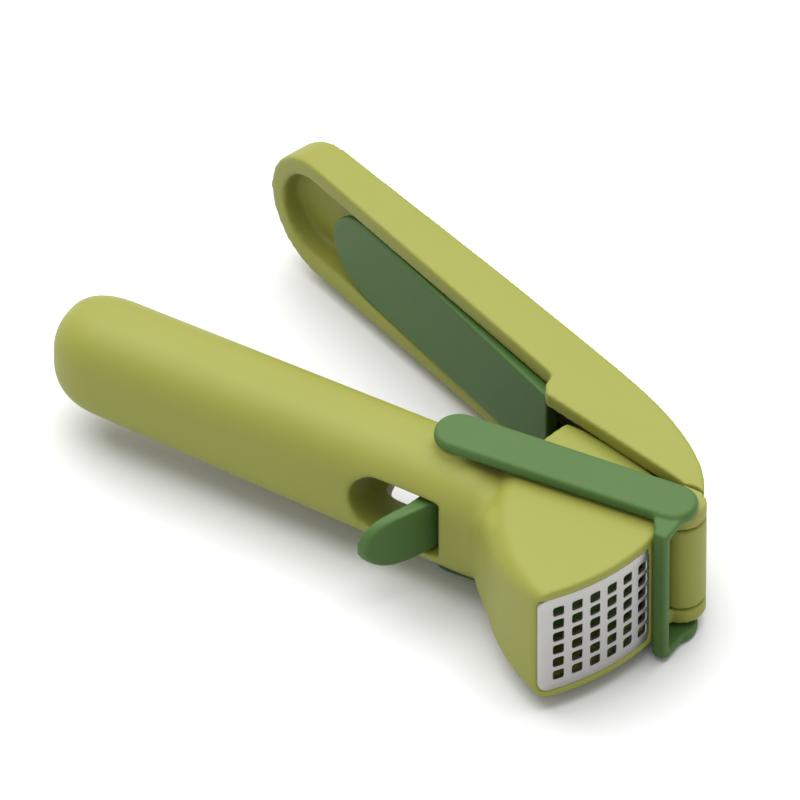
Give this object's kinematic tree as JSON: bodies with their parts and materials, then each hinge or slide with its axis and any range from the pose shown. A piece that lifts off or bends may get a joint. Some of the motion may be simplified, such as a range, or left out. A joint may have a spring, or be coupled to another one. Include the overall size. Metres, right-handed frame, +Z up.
{
  "type": "garlic press",
  "caption": "Hinged garlic press with a perforated steel grille, a trigger-driven wiper that sweeps it, and a scoop stored in the lever.",
  "frame": {"origin": "on the hinge axis, at the level of the lower wiper arm's outer face, which the press rests on", "axes": "+Z up along the hinge axis; the long handle points along -X and the grille faces about +X; the lever is on the +Y side"},
  "size_m": [0.1874, 0.1223, 0.046],
  "materials": {
    "light_nylon": "fine satin texture, olive green",
    "dark_nylon": "fine satin texture, leaf green",
    "grille_steel": "satin stainless steel",
    "pin_steel": "ground stainless steel",
    "soft_lip": "matte elastomer, leaf green"
  },
  "bodies": {
    "press_body": {"chamber_body": "light_nylon", "handle_cover": "light_nylon", "grille": "grille_steel", "hinge_pin": "pin_steel", "return_spring": "pin_steel"},
    "lever": {"upper_handle": "light_nylon", "plunger": "dark_nylon", "plunger_pad": "dark_nylon", "plunger_screws": "pin_steel", "cleaning_tool": "dark_nylon"},
    "wiper": {"wiper_arm_top": "dark_nylon", "wiper_arm_bottom": "dark_nylon", "wiper_blade": "dark_nylon", "wiper_lip": "soft_lip", "trigger": "dark_nylon", "wiper_axle": "pin_steel"}
  },
  "joints": [
    {"name": "main_hinge", "type": "hinge", "parent": "press_body", "child": "lever", "pos_m": [0, 0, 0.023], "axis": [0, 0, -1], "range_deg": [-19.2, 95]},
    {"name": "wiper_sweep", "type": "hinge", "parent": "press_body", "child": "wiper", "pos_m": [-0.061, -0.0102, 0.023], "axis": [0, 0, -1], "range_deg": [0, 32.5], "stiffness_Nm_per_rad": 0.03, "springref_deg": -20.05}
  ]
}
